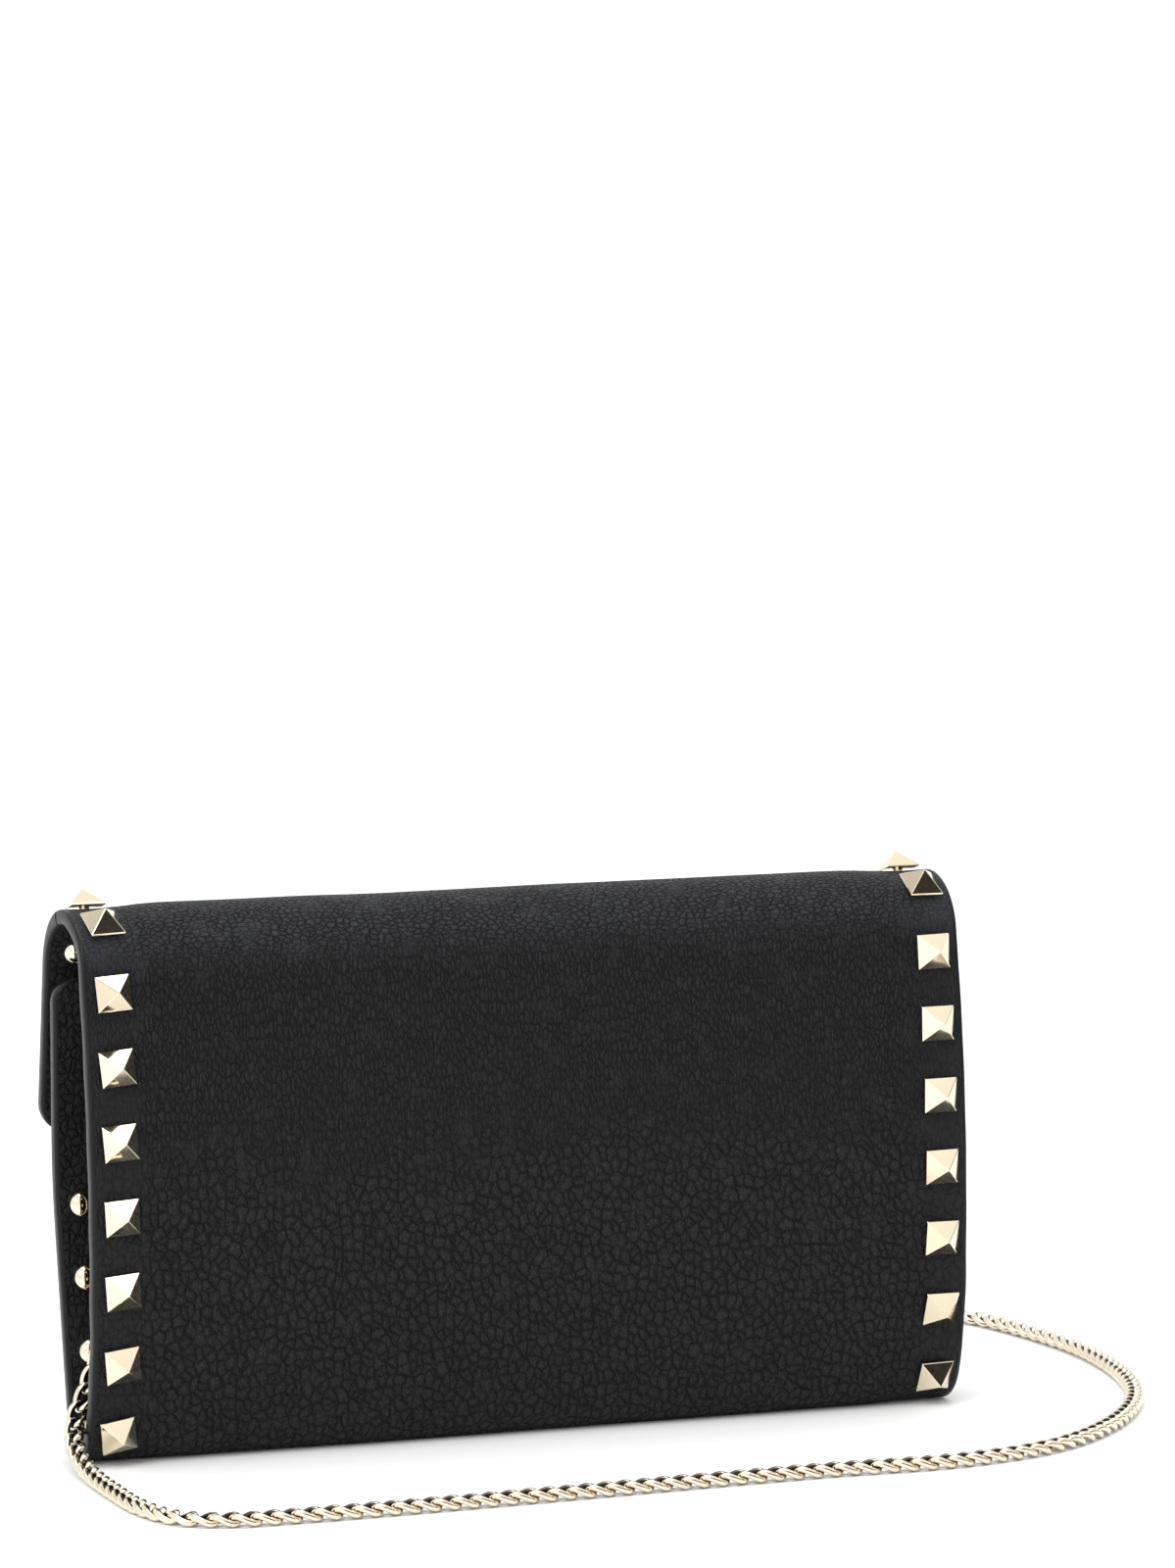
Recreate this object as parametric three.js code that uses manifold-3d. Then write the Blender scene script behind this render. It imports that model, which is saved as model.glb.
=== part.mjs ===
// A leather wallet on a chain, standing on its lower fold. Millimetres, +Z up.
// X runs across the width. The flap is at the front (-Y) and the plain studded panel at the back (+Y).
// "Right" is +X and "left" is -X, as seen by someone who faces the flap.
import * as THREE from 'three';
import { mergeVertices } from 'three/addons/utils/BufferGeometryUtils.js';
import Module from 'manifold-3d';

const wasm = await Module();
wasm.setup();

// ---------------------------------------------------------------- driving dimensions
const WIDTH = 190;
const LEATHER = 3.0; // the whole laminate: outer leather, filler and lining
const GAP = 0.3; // clearance between pieces that touch on the real wallet

// The outer surface, followed from the base: up the back, over the top and down the flap.
const BASE_BACK_Y = 5.78; // where the flat of the base ends and the heel begins
const BASE_FLAT = 1.74;
const HEEL = { radius: 8.97, turn: 74, steps: 8 };
const LOWER_BACK = { radius: 85.2, turn: 16, steps: 3 };
const BACK_FLAT = { line: 8.8 };
const UPPER_BACK = { radius: 317.9, turn: 11, steps: 3 };
const TOP_FOLD = { radius: 13.2, turn: 162, steps: 18 };
const FLAP_DROP = { line: 35.4 };
// The same surface, followed the other way: round the toe and up the front.
const TOE = { radius: 3.6, turn: -79.2, steps: 5 };
const FRONT_LEAN = { line: 43.85 };
const FRONT_BEND = { radius: 96.5, turn: -10.8, steps: 3 };
const FRONT_RISE = { line: 31.4 };

// The contents push the lower front panel out between the gussets.
const BELLY = 7.5;
const BELLY_HALF_WIDTH = 74;
const BELLY_FULL_BELOW = 14;
const BELLY_GONE_ABOVE = 62;

const FLAP_CORNER = 5;
const FRONT_CORNER = 4;

// The flap rolls open about two lines on the outer surface of the top fold.
const REAR_HINGE_TURN = 69.5; // degrees of fold behind the first line
const FRONT_HINGE_TURN = 122; // degrees of fold behind the second line

// Studs: one set rivet each, a pyramid outside and a dome on the lining side.
const STUD_X = 89;
const STUD_SIDE = 7.2;
const STUD_HEIGHT = 4;
const STUD_PITCH = 14.8;
const STUD_PITCH_ON_FOLD = 12.1;
const STUD_SEAT = 0.25;
const CAP_SEAT = 0.6; // the lining is hollow behind the lowest stud
const SHANK_RADIUS = 1.1;
const HOLE_RADIUS = 1.45;
const CAP_RADIUS = 2.5;
const CAP_HEIGHT = 1.8;
const BACK_ROWS = 8;
const FRONT_ROWS = 4;
const FLAP_ROWS = 3;
const LOWEST_FRONT_STUD = 3; // from the end of the toe

// Inside.
const GUSSET_EDGE_X = 80.5;
const GUSSET_FOLD_X = 69.5;
const GUSSET_LEATHER = 1;
const GUSSET_BOTTOM = 9;
const GUSSET_TOP = 92;
const POCKET_WIDTH = 137.4;
const POCKET_HEIGHT = 70;
const POCKET_WALL = 1.2;
const POCKET_ROOM = 3.2;
const POCKET_BASE = { y: 5.2, z: 12.5 };
const POCKET_TILT = 3.6; // degrees towards the front
const CARD_LEATHER = 1.1;
const CARD_WIDTH = 130;
const SNAP_RADIUS = 7;
const SNAP_HEIGHT_ON_FLAP = 169.5; // path length from the heel to the snap's centre

// Chain and the hardware at its ends.
const HARDWARE_X = 83.5;
const TAB_PLACE = { y: 5.8, z: 89.5 };
const RING_DROP = 7.4; // from the D-ring's bar to its lower wire
const CHAIN_RADIUS = 1.3; // half the thickness of the links, which lie flat
const CHAIN_STEPS = 96;
const FLOOR = 1.5; // height of the chain's centreline where it lies on the ground

// The chain from the right end ring to the left one, [x, y, z].
const CHAIN_ROUTE = [
  [83.5, 5.8, 62.3], [84.3, 5.7, 40], [87, 5.2, 28], [90.2, 5, 20], [93.4, 6.6, 13.2],
  [96.3, 9.4, 8.6], [98.2, 15, 4.8], [99.2, 26, 2.2], [100.2, 46.5, FLOOR], [100.2, 62, FLOOR],
  [97, 73.5, FLOOR], [89, 79, FLOOR], [68, 80.3, FLOOR], [-34, 76.6, FLOOR], [-66, 77, FLOOR],
  [-90, 70, FLOOR], [-112, 52, FLOOR], [-130, 25, FLOOR], [-140, -8, FLOOR], [-142, -40, FLOOR],
  [-134, -77, FLOOR], [-108, -99, FLOOR], [-70, -105, FLOOR], [5, -105, FLOOR], [16.2, -98.8, FLOOR],
  [16.2, -86.2, FLOOR], [5, -80, FLOOR], [-74, -80, FLOOR], [-85.2, -73.8, FLOOR], [-85.2, -61.2, FLOOR],
  [-74, -55, FLOOR], [4, -55, FLOOR], [15.2, -48.8, FLOOR], [15.2, -36.2, FLOOR], [4, -30, FLOOR],
  [-74, -27, FLOOR], [-97, -12, 2.6], [-98, 1, 8.6], [-90, 5, 27], [-83.5, 5.8, 62.3],
];

// ---------------------------------------------------------------- materials
const material = (color, roughness, metalness = 0) =>
  new THREE.MeshStandardMaterial({ color, roughness, metalness });
const OUTER_LEATHER = material(0x2b2b2e, 0.6);
const LINING_LEATHER = material(0x242427, 0.65);
const TAPE_CLOTH = material(0x1c1c1e, 0.9);
const POLISHED_GOLD = material(0xe8dcb8, 0.15, 1);
const MAGNET_CASE = material(0xd8cda8, 0.3, 1);

// ---------------------------------------------------------------- solids
const rad = THREE.MathUtils.degToRad;

/** A manifold solid from any closed three.js geometry. */
function solidFrom(geometry) {
  const bare = geometry.clone();
  bare.deleteAttribute('normal');
  bare.deleteAttribute('uv');
  const welded = mergeVertices(bare, 1e-4);
  return new wasm.Manifold(new wasm.Mesh({
    numProp: 3,
    vertProperties: Float32Array.from(welded.attributes.position.array),
    triVerts: Uint32Array.from(welded.index.array),
  }));
}

/** A three.js geometry from a manifold solid. */
function geometryFrom(solid) {
  const mesh = solid.getMesh();
  const geometry = new THREE.BufferGeometry();
  geometry.setAttribute('position', new THREE.BufferAttribute(mesh.vertProperties, 3));
  geometry.setIndex(new THREE.BufferAttribute(mesh.triVerts, 1));
  geometry.computeVertexNormals();
  return geometry;
}

/** Joins the first geometries and cuts the others out of them. */
function combine(joined, cut = []) {
  let solid = solidFrom(joined[0]);
  for (const piece of joined.slice(1)) solid = solid.add(solidFrom(piece));
  for (const piece of cut) solid = solid.subtract(solidFrom(piece));
  return geometryFrom(solid);
}

/** The same geometry on the other side of the plane x = 0, with its faces still pointing out. */
function mirrored(geometry) {
  const other = geometry.clone().applyMatrix4(new THREE.Matrix4().makeScale(-1, 1, 1));
  const corners = other.index.array;
  for (let i = 0; i < corners.length; i += 3) [corners[i], corners[i + 1]] = [corners[i + 1], corners[i]];
  return other;
}

function box(width, depth, height, x = 0, y = 0, z = 0) {
  return new THREE.BoxGeometry(width, depth, height).translate(x, y, z);
}

/** An outline in the (y, z) plane, given as [y, z] points, extruded along X about x = 0. */
function extrudeAlongX(outline, width, steps = 1, holes = []) {
  const shape = new THREE.Shape(outline.map(([y, z]) => new THREE.Vector2(y, z)));
  for (const hole of holes) shape.holes.push(new THREE.Path(hole.map(([y, z]) => new THREE.Vector2(y, z))));
  const geometry = new THREE.ExtrudeGeometry(shape, { depth: width, steps, bevelEnabled: false });
  geometry.translate(0, 0, -width / 2);
  const yAxis = new THREE.Vector3(0, 1, 0);
  const zAxis = new THREE.Vector3(0, 0, 1);
  const xAxis = new THREE.Vector3(1, 0, 0);
  return geometry.applyMatrix4(new THREE.Matrix4().makeBasis(yAxis, zAxis, xAxis));
}

/** Points of a circle or arc, [u, v]. */
function arcPoints(u, v, radius, from, to, steps) {
  const points = [];
  for (let i = 0; i <= steps; i += 1) {
    const a = rad(from + ((to - from) * i) / steps);
    points.push([u + radius * Math.cos(a), v + radius * Math.sin(a)]);
  }
  return points;
}
const circlePoints = (u, v, radius, steps) => arcPoints(u, v, radius, 0, 360 - 360 / steps, steps - 1);

/** The outline of a strip of the given thickness along an open line of [u, v] points. */
function stripOutline(line, thickness) {
  const sides = [[], []];
  line.forEach(([u, v], i) => {
    const before = line[Math.max(i - 1, 0)];
    const after = line[Math.min(i + 1, line.length - 1)];
    const length = Math.hypot(after[0] - before[0], after[1] - before[1]);
    const across = [-(after[1] - before[1]) / length, (after[0] - before[0]) / length];
    sides[0].push([u - (across[0] * thickness) / 2, v - (across[1] * thickness) / 2]);
    sides[1].unshift([u + (across[0] * thickness) / 2, v + (across[1] * thickness) / 2]);
  });
  return [...sides[0], ...sides[1]];
}

// ---------------------------------------------------------------- the wrapped shell
/**
 * Follows straight legs and arcs in the (y, z) plane. Each point keeps the outward normal,
 * which is to the right of the heading for side = 1, and the length s walked so far.
 */
function trace(start, heading, legs, side) {
  let [y, z] = start;
  let angle = heading;
  let s = 0;
  const points = [];
  const mark = () => points.push({
    y, z, s, ny: side * Math.sin(rad(angle)), nz: -side * Math.cos(rad(angle)),
  });
  mark();
  for (const leg of legs) {
    const steps = leg.steps ?? 1;
    for (let i = 0; i < steps; i += 1) {
      const turn = (leg.turn ?? 0) / steps;
      const arc = leg.line ?? rad(Math.abs(turn)) * leg.radius;
      const chord = leg.line ?? 2 * leg.radius * Math.sin(rad(Math.abs(turn)) / 2);
      y += chord * Math.cos(rad(angle + turn / 2));
      z += chord * Math.sin(rad(angle + turn / 2));
      angle += turn;
      s += arc;
      mark();
    }
  }
  return points;
}

const backLine = trace([BASE_BACK_Y, 0], 0,
  [HEEL, LOWER_BACK, BACK_FLAT, UPPER_BACK, TOP_FOLD, FLAP_DROP], 1);
const frontLine = trace([BASE_BACK_Y, 0], 180,
  [{ line: BASE_FLAT }, TOE, FRONT_LEAN, FRONT_BEND, FRONT_RISE], -1);
const wrap = [...frontLine.slice(1).reverse().map((p) => ({ ...p, s: -p.s })), ...backLine];

const lengthOf = (leg) => leg.line ?? rad(Math.abs(leg.turn)) * leg.radius;
const HEEL_END = lengthOf(HEEL);
const FOLD_START = HEEL_END + lengthOf(LOWER_BACK) + lengthOf(BACK_FLAT) + lengthOf(UPPER_BACK);
const REAR_HINGE = FOLD_START + rad(REAR_HINGE_TURN) * TOP_FOLD.radius;
const FRONT_HINGE = FOLD_START + rad(FRONT_HINGE_TURN) * TOP_FOLD.radius;
const TOE_END = -(BASE_FLAT + lengthOf(TOE));

/** The point of the wrap at length s, between its neighbours. */
function pointAt(s) {
  const i = Math.min(Math.max(wrap.findIndex((p) => p.s >= s), 1), wrap.length - 1);
  const [a, b] = [wrap[i - 1], wrap[i]];
  const t = (s - a.s) / (b.s - a.s);
  const mix = (key) => a[key] + (b[key] - a[key]) * t;
  const size = Math.hypot(mix('ny'), mix('nz'));
  return { y: mix('y'), z: mix('z'), s, ny: mix('ny') / size, nz: mix('nz') / size };
}

/** The closed section of the laminate between two lengths. */
function wrapSection(from, to) {
  const line = [pointAt(from), ...wrap.filter((p) => p.s > from + 0.05 && p.s < to - 0.05), pointAt(to)];
  const outer = line.map((p) => [p.y, p.z]);
  const inner = line.map((p) => [p.y - p.ny * LEATHER, p.z - p.nz * LEATHER]);
  return [...outer, ...inner.reverse()];
}

/** How far the contents push the front panel and base out at a point of the shell. */
function bellyAt(x, y, z) {
  const across = Math.max(0, 1 - (x / BELLY_HALF_WIDTH) ** 2) ** 2;
  const front = THREE.MathUtils.clamp((BASE_BACK_Y - y) / BASE_FLAT, 0, 1);
  const height = 1 - THREE.MathUtils.smoothstep(z, BELLY_FULL_BELOW, BELLY_GONE_ABOVE);
  return BELLY * across * front * height;
}

function withBelly(geometry) {
  const place = geometry.attributes.position;
  for (let i = 0; i < place.count; i += 1) {
    const [x, y, z] = [place.getX(i), place.getY(i), place.getZ(i)];
    place.setY(i, y - bellyAt(x, y, z));
  }
  return geometry;
}

/** Cutters that round the two corners of a panel's free edge, which is at height z. */
function cornerCutters(radius, z, up, y) {
  const reach = radius + 1;
  const cutters = [];
  for (const side of [-1, 1]) {
    const [cx, cz] = [side * (WIDTH / 2 - radius), z - up * radius];
    const arc = arcPoints(0, 0, radius, 0, 90, 4).map(([u, v]) => [cx + side * u, cz + up * v]);
    const outline = [...arc, [cx, cz + up * reach], [cx + side * reach, cz + up * reach], [cx + side * reach, cz]];
    cutters.push(plateInXZ(outline, 16).translate(0, y, 0));
  }
  return cutters;
}

/** An outline of [x, z] points as a plate about the plane y = 0. */
function plateInXZ(outline, thickness, holes = []) {
  const shape = new THREE.Shape(outline.map(([x, z]) => new THREE.Vector2(x, z)));
  for (const hole of holes) shape.holes.push(new THREE.Path(hole.map(([x, z]) => new THREE.Vector2(x, z))));
  const geometry = new THREE.ExtrudeGeometry(shape, { depth: thickness, bevelEnabled: false });
  return geometry.translate(0, 0, -thickness / 2).rotateX(Math.PI / 2);
}

// ---------------------------------------------------------------- studs
/** Path lengths of the studs of one side column, by the piece of shell that they go through. */
const studLengths = { back: [], front: [], fold: [], flap: [] };
for (let row = 0; row < BACK_ROWS; row += 1) {
  studLengths.back.push(HEEL_END + STUD_PITCH * (BACK_ROWS - 1 - row));
}
studLengths.fold.push(studLengths.back[0] + STUD_PITCH_ON_FOLD);
for (let row = 0; row < FLAP_ROWS; row += 1) {
  studLengths.flap.push(studLengths.fold[0] + STUD_PITCH_ON_FOLD + STUD_PITCH * row);
}
for (let row = 0; row < FRONT_ROWS; row += 1) {
  studLengths.front.push(TOE_END - LOWEST_FRONT_STUD - STUD_PITCH * (FRONT_ROWS - 1 - row));
}

/** Turns local +Z to a normal in the (y, z) plane. */
const turnTo = (ny, nz) => new THREE.Quaternion().setFromAxisAngle(
  new THREE.Vector3(1, 0, 0), Math.atan2(-ny, nz));

function studGeometry() {
  const pyramid = new THREE.ConeGeometry(STUD_SIDE / Math.SQRT2, STUD_HEIGHT, 4)
    .rotateY(Math.PI / 4).rotateX(Math.PI / 2).translate(0, 0, STUD_SEAT + STUD_HEIGHT / 2);
  const under = -LEATHER - CAP_SEAT;
  const rivet = new THREE.LatheGeometry([
    new THREE.Vector2(0, under - CAP_HEIGHT),
    new THREE.Vector2(CAP_RADIUS * 0.6, under - CAP_HEIGHT * 0.84),
    new THREE.Vector2(CAP_RADIUS * 0.92, under - CAP_HEIGHT * 0.46),
    new THREE.Vector2(CAP_RADIUS, under),
    new THREE.Vector2(SHANK_RADIUS, under),
    new THREE.Vector2(SHANK_RADIUS, STUD_SEAT + 0.8),
    new THREE.Vector2(0, STUD_SEAT + 0.8),
  ], 8).rotateX(Math.PI / 2);
  return combine([pyramid, rivet]);
}

/** Holes through the laminate for the studs at the given path lengths, on both sides. */
function studHoles(lengths) {
  const holes = [];
  for (const s of lengths) {
    const p = pointAt(s);
    for (const x of [-STUD_X, STUD_X]) {
      const hole = new THREE.CylinderGeometry(HOLE_RADIUS, HOLE_RADIUS, LEATHER + 4, 8).rotateX(Math.PI / 2);
      hole.applyQuaternion(turnTo(p.ny, p.nz));
      holes.push(hole.translate(x, p.y - (p.ny * LEATHER) / 2, p.z - (p.nz * LEATHER) / 2));
    }
  }
  return holes;
}

// ---------------------------------------------------------------- assembly
const wallet = new THREE.Group();

function addMesh(name, geometry, look, parent = wallet) {
  const mesh = new THREE.Mesh(geometry, look);
  mesh.name = name;
  parent.add(mesh);
  return mesh;
}

function addShell() {
  const frontTop = frontLine.at(-1).z;
  const flapEnd = backLine.at(-1);
  const bodyWrap = withBelly(extrudeAlongX(wrapSection(wrap[0].s, REAR_HINGE - GAP / 2), WIDTH, 14));
  const holes = studHoles([...studLengths.front, ...studLengths.back]);
  addMesh('shell_body', combine([bodyWrap], [...holes, ...cornerCutters(FRONT_CORNER, frontTop, 1, -9.4)]),
    OUTER_LEATHER);
  const foldWrap = extrudeAlongX(wrapSection(REAR_HINGE + GAP / 2, FRONT_HINGE - GAP / 2), WIDTH);
  addMesh('flap_fold', combine([foldWrap], studHoles(studLengths.fold)), OUTER_LEATHER);
  const flapWrap = extrudeAlongX(wrapSection(FRONT_HINGE + GAP / 2, flapEnd.s), WIDTH);
  const flapCuts = [...studHoles(studLengths.flap), ...cornerCutters(FLAP_CORNER, flapEnd.z, -1, flapEnd.y)];
  addMesh('flap', combine([flapWrap], flapCuts), OUTER_LEATHER);
}

function addStuds() {
  const stud = studGeometry();
  for (const [place, lengths] of Object.entries(studLengths)) {
    lengths.forEach((s, row) => {
      const p = pointAt(s);
      for (const [side, x] of [['right', STUD_X], ['left', -STUD_X]]) {
        const mesh = addMesh(`stud_${place}_${side}_${row + 1}`, stud, POLISHED_GOLD);
        mesh.position.set(x, p.y, p.z);
        mesh.quaternion.copy(turnTo(p.ny, p.nz));
      }
    });
  }
}

/** The y of the lining at height z, on the back wall or the front wall. */
function liningAt(line, z) {
  const inner = line.map((p) => [p.y - p.ny * LEATHER, p.z - p.nz * LEATHER]);
  const i = inner.findIndex((p, k) => k > 0 && inner[k - 1][1] <= z && p[1] >= z);
  const [a, b] = [inner[i - 1], inner[i]];
  return a[0] + ((b[0] - a[0]) * (z - a[1])) / (b[1] - a[1]);
}

/** A gusset folds inwards like a bellows. Its section is drawn for a nominal depth and fitted at each height. */
function addGussets() {
  const depth = 20;
  const line = [[GUSSET_EDGE_X, 1], [77, 1.2], [GUSSET_FOLD_X + 1.2, 8.6], [GUSSET_FOLD_X, 10],
    [GUSSET_FOLD_X + 1.2, 11.4], [77, 18.8], [GUSSET_EDGE_X, 19]];
  const shape = new THREE.Shape(stripOutline(line, GUSSET_LEATHER).map(([x, y]) => new THREE.Vector2(x, y)));
  const tall = GUSSET_TOP - GUSSET_BOTTOM;
  const geometry = new THREE.ExtrudeGeometry(shape, { depth: tall, steps: 8, bevelEnabled: false });
  geometry.translate(0, 0, GUSSET_BOTTOM);
  const place = geometry.attributes.position;
  for (let i = 0; i < place.count; i += 1) {
    const z = place.getZ(i);
    const front = liningAt(frontLine, z);
    const back = liningAt(backLine, z);
    place.setY(i, front + (place.getY(i) / depth) * (back - front));
  }
  const gusset = combine([geometry]);
  addMesh('gusset_right', gusset, LINING_LEATHER);
  addMesh('gusset_left', mirrored(gusset), LINING_LEATHER);
}

// ---------------------------------------------------------------- coin pocket and zip
const TAPE = { thick: 0.5, height: 9 };
const TEETH = { outer: 1.65, rib: 0.5, past: 0.4, height: 1.6, pitch: 3.2, length: 124 };
const SLIDER_START_X = 56; // the zip is closed with its slider at the right end
const SLIDER = { length: 8, wall: 0.8, top: 1 };
const PULLER = { length: 12.4, width: 5, thick: 1.2 };

/** One row of teeth: a rib on its own side of the zip, with blocks that reach past the middle. */
function toothRow(side) {
  const rib = box(TEETH.length, TEETH.rib, TEETH.height, 0, side * (TEETH.outer - TEETH.rib / 2), 0);
  const reach = TEETH.outer + TEETH.past;
  const count = Math.floor(TEETH.length / TEETH.pitch) - 1;
  const teeth = [];
  for (let i = 0; i < count; i += 1) {
    const x = (i - (count - 1) / 2) * TEETH.pitch + (side * TEETH.pitch) / 4;
    teeth.push(box(TEETH.pitch * 0.36, reach, TEETH.height, x, side * (TEETH.outer - reach / 2), 0));
  }
  return combine([rib, ...teeth]);
}

function addPocketAndZip() {
  const pocket = new THREE.Group();
  pocket.position.set(0, POCKET_BASE.y, POCKET_BASE.z);
  pocket.rotation.x = rad(POCKET_TILT);
  wallet.add(pocket);
  const halfRoom = POCKET_ROOM / 2;
  const wallY = halfRoom + POCKET_WALL / 2;
  const middle = POCKET_HEIGHT / 2;
  addMesh('pocket_front_wall', box(POCKET_WIDTH, POCKET_WALL, POCKET_HEIGHT, 0, -wallY, middle),
    LINING_LEATHER, pocket);
  const rimDepth = POCKET_ROOM - GAP + POCKET_WALL / 2;
  const rimY = wallY - rimDepth / 2;
  const rimX = (POCKET_WIDTH - POCKET_WALL) / 2;
  const tray = combine([
    box(POCKET_WIDTH, POCKET_WALL, POCKET_HEIGHT, 0, wallY, middle),
    box(POCKET_WIDTH, rimDepth, POCKET_WALL, 0, rimY, POCKET_WALL / 2),
    box(POCKET_WALL, rimDepth, POCKET_HEIGHT, rimX, rimY, middle),
    box(POCKET_WALL, rimDepth, POCKET_HEIGHT, -rimX, rimY, middle),
  ]);
  addMesh('pocket_back_wall', tray, LINING_LEATHER, pocket);

  const tapeY = halfRoom - GAP - TAPE.thick / 2;
  const tapeZ = POCKET_HEIGHT + 1.7 - TAPE.height / 2;
  const teethZ = POCKET_HEIGHT + 2 + TEETH.height / 2;
  for (const [name, side] of [['front', -1], ['back', 1]]) {
    addMesh(`zip_tape_${name}`, box(TEETH.length + 4, TAPE.thick, TAPE.height, 0, side * tapeY, tapeZ),
      TAPE_CLOTH, pocket);
    addMesh(`zip_teeth_${name}`, toothRow(side), POLISHED_GOLD, pocket).position.z = teethZ;
  }

  const slider = new THREE.Group();
  slider.position.set(SLIDER_START_X, 0, teethZ);
  pocket.add(slider);
  const halfInside = TEETH.outer + GAP;
  const under = TEETH.height / 2 + GAP;
  const sideY = halfInside + SLIDER.wall / 2;
  const sideHeight = under + TEETH.height / 2;
  const lugTop = under + SLIDER.top + 3;
  const lug = extrudeAlongX([[-1.8, under + 0.5], [1.8, under + 0.5], [1.8, lugTop], [-1.8, lugTop]], 1.4)
    .rotateZ(Math.PI / 2);
  const eye = box(2, 4, 2, 0, 0, under + SLIDER.top + 1.2);
  addMesh('zip_slider', combine([
    box(SLIDER.length, 2 * (halfInside + SLIDER.wall), SLIDER.top, 0, 0, under + SLIDER.top / 2),
    box(SLIDER.length, SLIDER.wall, sideHeight, 0, sideY, GAP + 0.2),
    box(SLIDER.length, SLIDER.wall, sideHeight, 0, -sideY, GAP + 0.2),
    lug,
  ], [eye]), POLISHED_GOLD, slider);

  // The puller's end bar goes through the lug's eye, and the rest lies back along the zip.
  const puller = new THREE.Group();
  puller.position.z = under + SLIDER.top + 1.2;
  slider.add(puller);
  const plate = box(PULLER.length, PULLER.width, PULLER.thick, -PULLER.length / 2, 0, 0);
  const bar = new THREE.CylinderGeometry(PULLER.thick / 2, PULLER.thick / 2, PULLER.width, 16);
  const slot = box(2.6, 2.2, 4, -1.9, 0, 0);
  addMesh('zip_puller', combine([plate, bar], [slot]), POLISHED_GOLD, puller);
}

/** Card panels lie one over the other against the back lining, and each is shorter than the one behind it. */
function addCardPanels() {
  const bottom = 15;
  const panels = [['card_panel_tall', GAP, 69], ['card_panel_short', 2 * GAP + CARD_LEATHER, 57]];
  for (const [name, inset, top] of panels) {
    const line = [];
    for (let i = 0; i <= 5; i += 1) {
      const z = bottom + ((top - bottom) * i) / 5;
      line.push([liningAt(backLine, z) - inset - CARD_LEATHER / 2, z]);
    }
    addMesh(name, extrudeAlongX(stripOutline(line, CARD_LEATHER), CARD_WIDTH), LINING_LEATHER);
  }
}

function addSnap() {
  const flapPoint = pointAt(SNAP_HEIGHT_ON_FLAP);
  const male = new THREE.LatheGeometry([
    new THREE.Vector2(0, 0), new THREE.Vector2(SNAP_RADIUS, 0), new THREE.Vector2(SNAP_RADIUS, 1.3),
    new THREE.Vector2(SNAP_RADIUS - 0.6, 1.8), new THREE.Vector2(2.4, 1.8), new THREE.Vector2(2.2, 3.2),
    new THREE.Vector2(0, 3.4),
  ], 16).rotateX(Math.PI / 2);
  const maleMesh = addMesh('snap_male', geometryFrom(solidFrom(male)), MAGNET_CASE);
  const inset = LEATHER + GAP;
  maleMesh.position.set(0, flapPoint.y - flapPoint.ny * inset, flapPoint.z - flapPoint.nz * inset);
  maleMesh.quaternion.copy(turnTo(-flapPoint.ny, -flapPoint.nz));

  const female = new THREE.LatheGeometry([
    new THREE.Vector2(3.1, 0), new THREE.Vector2(SNAP_RADIUS, 0), new THREE.Vector2(SNAP_RADIUS, 1.4),
    new THREE.Vector2(SNAP_RADIUS - 0.6, 1.9), new THREE.Vector2(3.1, 1.9), new THREE.Vector2(3.1, 0),
  ], 16).rotateX(Math.PI / 2);
  const femaleMesh = addMesh('snap_female', geometryFrom(solidFrom(female)), MAGNET_CASE);
  femaleMesh.position.set(0, frontLine.at(-1).y - GAP, maleMesh.position.z);
  femaleMesh.quaternion.copy(turnTo(-1, 0));
}

// ---------------------------------------------------------------- chain ends
const LOOP = { outer: 2.6, hole: 1.45, tail: 10, width: 5.4 };
const CLASP = { centre: -1.6, inner: 3.2, outer: 4.5, thick: 2.8, eye: -13.6, gateFrom: -42, gateTo: 22 };

/** A leather tab in the (y, z) plane: a loop round the D-ring's bar, and two tails sewn together above. */
function tabGeometry() {
  const loop = extrudeAlongX(circlePoints(0, 0, LOOP.outer, 14), LOOP.width);
  const tails = box(LOOP.width, 1.8, LOOP.tail, 0, LOOP.outer - 0.9, LOOP.tail / 2);
  const hole = extrudeAlongX(circlePoints(0, 0, LOOP.hole, 12), LOOP.width + 2);
  return combine([loop, tails], [hole]);
}

/** A flat D-ring that hangs from its bar, which is centred on the origin. */
function ringGeometry() {
  const outer = [[4.7, 0.8], [-4.7, 0.8], [-4.7, -4], ...arcPoints(0, -3.5, 4.7, 186, 354, 8), [4.7, -4]];
  const inner = [[3.1, -0.8], [-3.1, -0.8], [-3.1, -3.6], ...arcPoints(0, -3.5, 3.1, 186, 354, 8), [3.1, -3.6]];
  return geometryFrom(solidFrom(plateInXZ(outer, 1.6, [inner])));
}

/** A lobster clasp whose hook passes round the origin. The gate's sector is left open. */
function claspGeometry() {
  const hook = extrudeAlongX(circlePoints(0, CLASP.centre, CLASP.outer, 20), CLASP.thick);
  const neck = extrudeAlongX([[-2.6, -5.6], [-1.9, -12.4], [1.9, -12.4], [2.6, -5.6]], CLASP.thick);
  const eye = extrudeAlongX(circlePoints(0, CLASP.eye, 2.3, 12), CLASP.thick);
  const inside = extrudeAlongX(circlePoints(0, CLASP.centre, CLASP.inner, 18), CLASP.thick + 2);
  const eyeHole = extrudeAlongX(circlePoints(0, CLASP.eye, 1.4, 10), CLASP.thick + 2);
  const sector = extrudeAlongX(
    [[0, CLASP.centre], ...arcPoints(0, CLASP.centre, 8, CLASP.gateFrom - 18, CLASP.gateTo + 14, 6)],
    CLASP.thick + 2);
  const body = combine([hook, neck, eye], [inside, eyeHole]);
  return combine([body], [sector]);
}

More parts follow.
